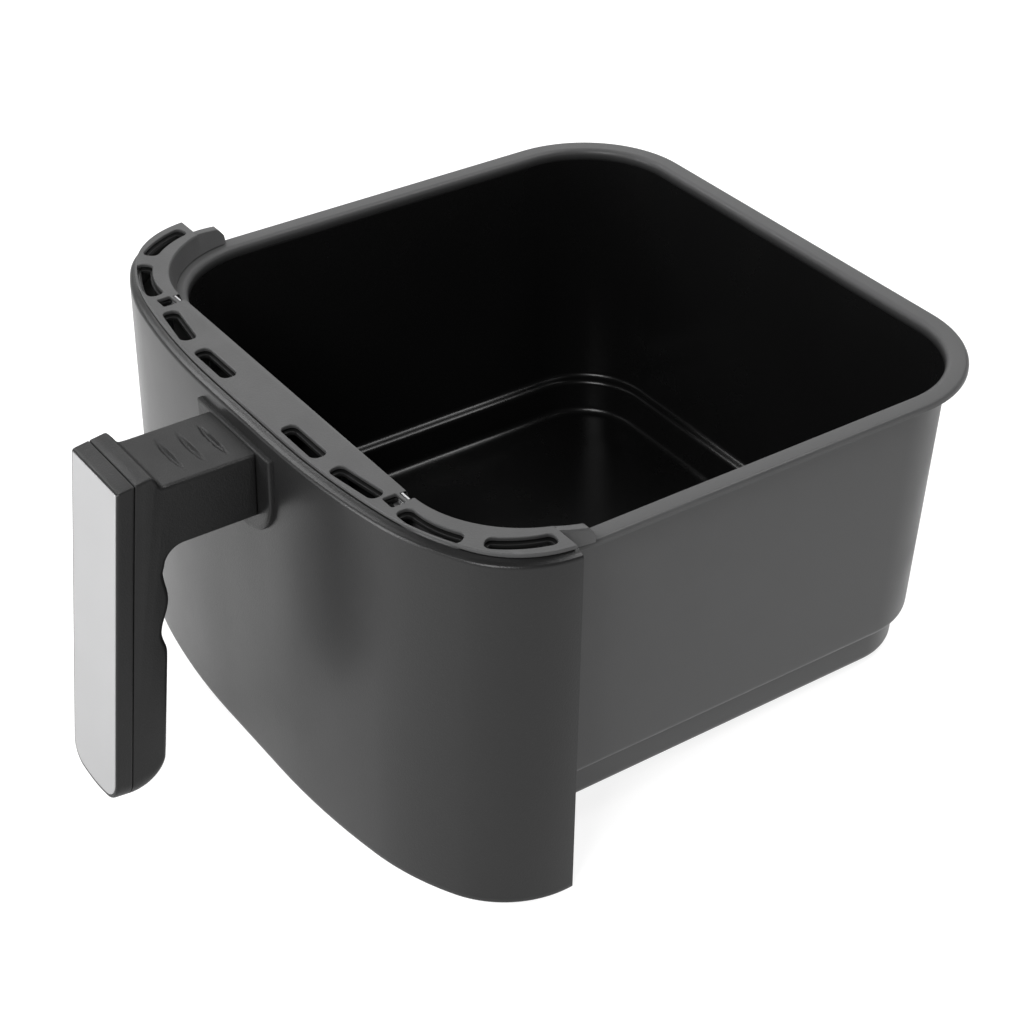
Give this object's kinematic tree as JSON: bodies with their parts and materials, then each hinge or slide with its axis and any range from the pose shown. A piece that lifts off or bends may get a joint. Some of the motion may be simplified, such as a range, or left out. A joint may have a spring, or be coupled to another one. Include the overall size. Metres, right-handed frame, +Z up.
{
  "type": "air fryer drawer",
  "caption": "Square pull-out air fryer drawer: coated steel pan, curved dark front with vented top trim, and a fixed handle with a silver insert.",
  "frame": {"origin": "centre of the pan's base, on its underside", "axes": "+Z up out of the pan's opening, -Y towards the handle, +X to the right of someone facing the handle"},
  "size_m": [0.2704, 0.3219, 0.1477],
  "materials": {
    "coated_steel": "satin non-stick coating",
    "moulding": "fine matte texture",
    "trim_plastic": "matte",
    "liner_plastic": "matte",
    "handle_plastic": "fine matte texture",
    "insert_silver": "satin",
    "zinc_steel": "zinc-plated",
    "spring_steel": "bright",
    "brass_insert": "turned",
    "fibre": "soft fibre",
    "adhesive": "clear tacky layer"
  },
  "bodies": {
    "root": {"pan": "coated_steel", "pan_studs": "zinc_steel", "front_bracket": "zinc_steel", "stud_nuts": "zinc_steel", "insulation_pad": "fibre", "panel_liner": "liner_plastic", "liner_screws": "zinc_steel", "front_panel": "moulding", "panel_screws": "zinc_steel", "top_trim": "trim_plastic", "trim_screws": "zinc_steel", "rim_clip_left": "spring_steel", "rim_clip_right": "spring_steel", "clip_screws": "zinc_steel", "handle_backing_plate": "zinc_steel", "handle_bolts": "zinc_steel", "bolt_washers": "zinc_steel", "threaded_inserts": "brass_insert", "root_flange": "handle_plastic", "handle_body": "handle_plastic", "handle_core_bar": "zinc_steel", "core_bar_screws": "zinc_steel", "handle_front_cover": "handle_plastic", "cover_screws": "zinc_steel", "insert_adhesive": "adhesive", "handle_insert_plate": "insert_silver"}
  },
  "joints": []
}
